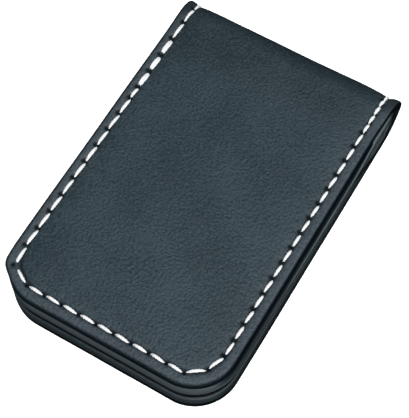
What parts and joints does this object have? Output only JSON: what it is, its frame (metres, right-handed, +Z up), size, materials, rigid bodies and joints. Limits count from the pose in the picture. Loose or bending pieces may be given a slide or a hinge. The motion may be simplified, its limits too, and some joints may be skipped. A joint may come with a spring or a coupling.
{
  "type": "magnetic money clip",
  "caption": "Folded leather money clip whose two padded flaps are held shut by hidden magnets, with white contrast stitching round the edges and over the fold.",
  "frame": {"origin": "centre of the bounding box at the back flap's outer face, where the clip rests", "axes": "+X across the clip to its right, +Y along it to the fold, +Z up through both flaps"},
  "size_m": [0.045, 0.0697, 0.0112],
  "materials": {
    "outer_leather": "smooth, satin",
    "core_leather": "dyed and burnished edge",
    "lining_leather": "smooth, matte",
    "magnet_plating": "nickel plate",
    "thread": "waxed thread"
  },
  "bodies": {
    "back_flap": {"outer_cover_back": "outer_leather", "core_ply_back": "core_leather", "lining_back": "lining_leather", "magnet_back_left": "magnet_plating", "magnet_back_right": "magnet_plating", "stitching_outer_back": "thread", "stitching_inner_back": "thread"},
    "fold_link_1": {"outer_fold_1": "outer_leather", "lining_fold_1": "lining_leather", "stitching_fold_1": "thread"},
    "fold_link_2": {"outer_fold_2": "outer_leather", "lining_fold_2": "lining_leather", "stitching_fold_2": "thread"},
    "fold_link_3": {"outer_fold_3": "outer_leather", "lining_fold_3": "lining_leather", "stitching_fold_3": "thread"},
    "front_flap": {"outer_cover_front": "outer_leather", "core_ply_front": "core_leather", "lining_front": "lining_leather", "magnet_front_left": "magnet_plating", "magnet_front_right": "magnet_plating", "stitching_outer_front": "thread", "stitching_inner_front": "thread"}
  },
  "joints": [
    {"name": "fold_bend_1", "type": "hinge", "parent": "back_flap", "child": "fold_link_1", "pos_m": [0, 0.03078, 0.0019], "axis": [-1, 0, 0], "range_deg": [0, 45], "stiffness_Nm_per_rad": 0.012, "springref_deg": -11.46},
    {"name": "fold_bend_2", "type": "hinge", "parent": "fold_link_1", "child": "fold_link_2", "pos_m": [0, 0.03295, 0.00407], "axis": [-1, 0, 0], "range_deg": [0, 45]},
    {"name": "fold_bend_3", "type": "hinge", "parent": "fold_link_2", "child": "fold_link_3", "pos_m": [0, 0.03295, 0.00713], "axis": [-1, 0, 0], "range_deg": [0, 45]},
    {"name": "fold_bend_4", "type": "hinge", "parent": "fold_link_3", "child": "front_flap", "pos_m": [0, 0.03078, 0.0093], "axis": [-1, 0, 0], "range_deg": [0, 45]}
  ],
  "couplings": [
    {"joint": "fold_bend_2", "follows": "fold_bend_1", "ratio": 1},
    {"joint": "fold_bend_3", "follows": "fold_bend_1", "ratio": 1},
    {"joint": "fold_bend_4", "follows": "fold_bend_1", "ratio": 1}
  ]
}
